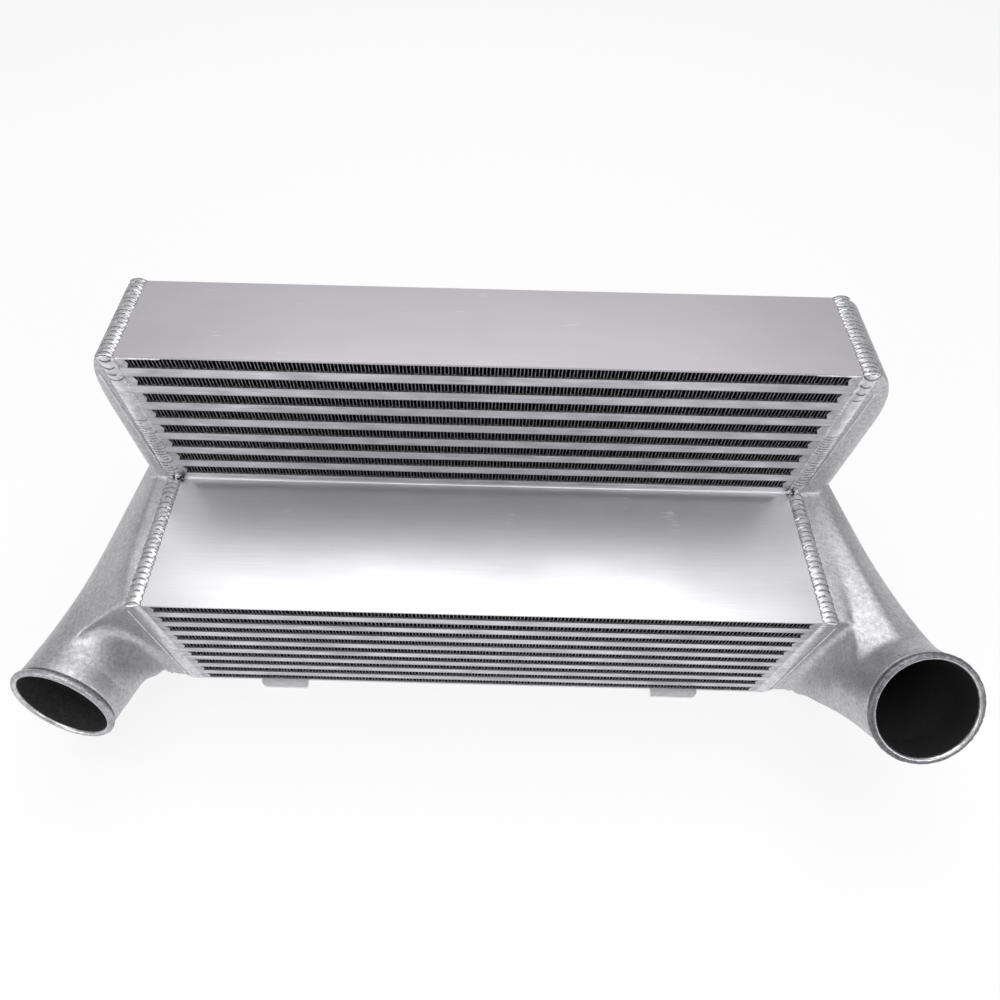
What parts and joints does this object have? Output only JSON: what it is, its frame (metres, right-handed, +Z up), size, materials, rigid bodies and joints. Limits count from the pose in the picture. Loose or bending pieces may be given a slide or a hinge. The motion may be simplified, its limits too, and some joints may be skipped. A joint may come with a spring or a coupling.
{
  "type": "intercooler",
  "caption": "Stepped bar-and-plate aluminium air-to-air intercooler core with a hollow cast end tank and a beaded round hose port on each side.",
  "frame": {"origin": "middle of the bottom plate's underside, halfway between the seams and between front and back of the lower rows", "axes": "+X along the core towards the end with the upward-looking port, +Y from the stepped front to the flat back, +Z up"},
  "size_m": [0.6896, 0.2807, 0.2803],
  "materials": {
    "cover_plate": "rolled sheet, satin, with fine scratches",
    "cast_tank": "sand cast, grainy, partly smoothed",
    "weld_bead": "rippled weld metal, bright crests",
    "bar": "extruded bar, satin",
    "tab": "cut plate, satin",
    "fin_strip": "thin rolled strip, bright"
  },
  "bodies": {
    "root": {"top_plate": "cover_plate", "step_plate": "cover_plate", "bottom_plate": "cover_plate", "left_tank": "cast_tank", "right_tank": "cast_tank", "left_weld": "weld_bead", "right_weld": "weld_bead", "left_closure_bars": "bar", "right_closure_bars": "bar", "left_tab": "tab", "right_tab": "tab", "air_fin_row_01": "fin_strip", "air_fin_row_02": "fin_strip", "air_fin_row_03": "fin_strip", "air_fin_row_04": "fin_strip", "air_fin_row_05": "fin_strip", "air_fin_row_06": "fin_strip", "air_fin_row_07": "fin_strip", "air_fin_row_08": "fin_strip", "air_fin_row_09": "fin_strip", "air_fin_row_10": "fin_strip", "air_fin_row_11": "fin_strip", "air_fin_row_12": "fin_strip", "air_fin_row_13": "fin_strip", "air_fin_row_14": "fin_strip", "air_fin_row_15": "fin_strip", "air_fin_row_16": "fin_strip", "air_fin_row_17": "fin_strip", "charge_tube_01": "bar", "charge_tube_02": "bar", "charge_tube_03": "bar", "charge_tube_04": "bar", "charge_tube_05": "bar", "charge_tube_06": "bar", "charge_tube_07": "bar", "charge_tube_08": "bar", "charge_tube_09": "bar", "charge_tube_10": "bar", "charge_tube_11": "bar", "charge_tube_12": "bar", "charge_tube_13": "bar", "charge_tube_14": "bar", "charge_tube_15": "bar", "charge_tube_16": "bar", "turbulator_01": "fin_strip", "turbulator_02": "fin_strip", "turbulator_03": "fin_strip", "turbulator_04": "fin_strip", "turbulator_05": "fin_strip", "turbulator_06": "fin_strip", "turbulator_07": "fin_strip", "turbulator_08": "fin_strip", "turbulator_09": "fin_strip", "turbulator_10": "fin_strip", "turbulator_11": "fin_strip", "turbulator_12": "fin_strip", "turbulator_13": "fin_strip", "turbulator_14": "fin_strip", "turbulator_15": "fin_strip", "turbulator_16": "fin_strip"}
  },
  "joints": []
}
